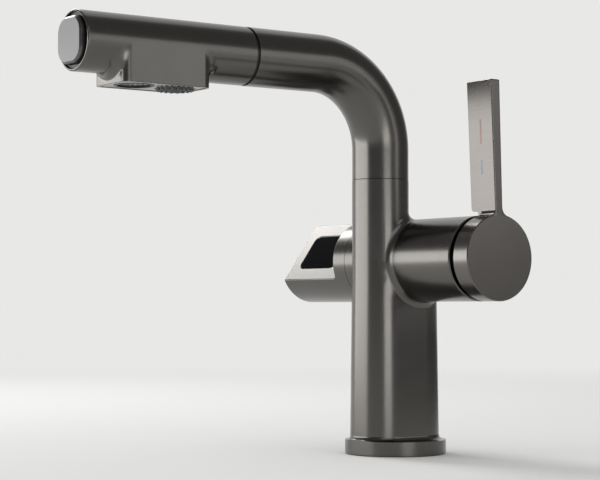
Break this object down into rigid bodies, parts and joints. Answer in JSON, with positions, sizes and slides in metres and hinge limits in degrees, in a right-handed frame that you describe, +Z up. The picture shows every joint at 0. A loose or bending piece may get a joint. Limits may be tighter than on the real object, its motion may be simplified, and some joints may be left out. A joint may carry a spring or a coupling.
{
  "type": "pull-out basin mixer",
  "caption": "Single-lever basin mixer with a swivelling bent spout, pull-out two-spray head with push button, side lever and a water-powered temperature display.",
  "frame": {"origin": "centre of the flange's underside, on the deck", "axes": "+Z up, the spout points along -Y, the handle along +X and the display along -X"},
  "size_m": [0.1553, 0.2194, 0.2125],
  "materials": {
    "gunmetal": "brushed gunmetal coating",
    "gunmetal_light": "satin gunmetal coating",
    "brass": "machined",
    "steel": "plain",
    "rubber": "matt",
    "grey_silicone": "matt",
    "black_plastic": "fine matt",
    "white_plastic": "plain",
    "black_glass": "polished",
    "ceramic": "lapped",
    "board_green": "solder mask",
    "copper": "enamelled wire",
    "magnet": "sintered",
    "hose_braid": "woven nylon",
    "button_silver": "satin",
    "red_mark": "enamel",
    "blue_mark": "enamel"
  },
  "bodies": {
    "body": {"body_shell": "gunmetal", "waterway_block": "brass", "base_seal": "rubber", "swivel_nipple": "brass", "nipple_clip": "white_plastic", "swivel_washer": "black_plastic", "hose_riser": "hose_braid", "cartridge_seals": "rubber", "cartridge_base": "white_plastic", "fixed_disc": "ceramic", "cartridge_housing": "white_plastic", "cartridge_nut": "brass", "bonnet_dome": "black_plastic", "display_housing": "gunmetal_light", "display_o_ring": "rubber", "housing_screw": "steel", "display_gasket": "rubber", "display_lens": "black_glass", "display_module": "black_plastic", "display_board": "board_green", "board_plug": "white_plastic", "display_leads": "rubber", "generator_case": "white_plastic", "generator_cover": "white_plastic", "stator_coil": "copper", "shaft_bushes": "brass", "flow_seal": "rubber"},
    "turbine": {"turbine_wheel": "white_plastic", "turbine_shaft": "steel", "rotor_magnet": "magnet"},
    "mixer_rotor": {"cartridge_rotor": "white_plastic", "pivot_pin": "steel"},
    "mixing_disc": {"moving_disc": "ceramic", "disc_carrier": "white_plastic"},
    "handle": {"cartridge_stem": "brass", "handle_cap": "gunmetal", "grub_screw": "steel", "lever_bar": "gunmetal_light", "lever_screw": "steel", "hot_mark": "red_mark", "cold_mark": "blue_mark"},
    "spout": {"spout_tube": "gunmetal", "spout_bush": "white_plastic", "dock_bush": "black_plastic", "hose_elbow": "hose_braid"},
    "spray_head": {"head_shell": "gunmetal", "diverter_block": "white_plastic", "check_valve": "white_plastic", "hose_washer": "rubber", "hose_nut": "brass", "hose_lead": "hose_braid", "outlet_plate": "gunmetal", "aerator_case": "black_plastic", "aerator_mesh": "steel", "nozzle_mat": "grey_silicone", "button_bezel": "black_plastic"},
    "push_button": {"spray_button": "button_silver", "diverter_spool": "white_plastic", "spool_seals": "rubber", "button_spring": "steel"}
  },
  "joints": [
    {"name": "temperature_turn", "type": "hinge", "parent": "body", "child": "mixer_rotor", "pos_m": [0.0505, 0.0065, 0.0993], "axis": [1, 0, 0], "range_deg": [-45, 45]},
    {"name": "flow_tilt", "type": "hinge", "parent": "mixer_rotor", "child": "handle", "pos_m": [0.0505, 0.0065, 0.0993], "axis": [0, 1, 0], "range_deg": [0, 20]},
    {"name": "disc_slide", "type": "slide", "parent": "mixer_rotor", "child": "mixing_disc", "axis": [0, 0, 1], "range_m": [0, 0.0043]},
    {"name": "spout_swivel", "type": "hinge", "parent": "body", "child": "spout", "pos_m": [0, -0.0096, 0.1404], "axis": [0, 0, 1], "range_deg": [-60, 60]},
    {"name": "head_pull_out", "type": "slide", "parent": "spout", "child": "spray_head", "axis": [0, -1, 0], "range_m": [0, 0.25], "deforming": ["hose_lead"]},
    {"name": "button_press", "type": "slide", "parent": "spray_head", "child": "push_button", "axis": [0, 1, 0], "range_m": [0, 0.0035], "stiffness_N_per_m": 800, "springref_m": -0.004, "deforming": ["button_spring"]},
    {"name": "turbine_spin", "type": "hinge", "parent": "body", "child": "turbine", "pos_m": [-0.02, 0.0065, 0.0993], "axis": [1, 0, 0], "continuous": true}
  ],
  "couplings": [
    {"joint": "disc_slide", "follows": "flow_tilt", "m_per_rad": 0.01202}
  ]
}
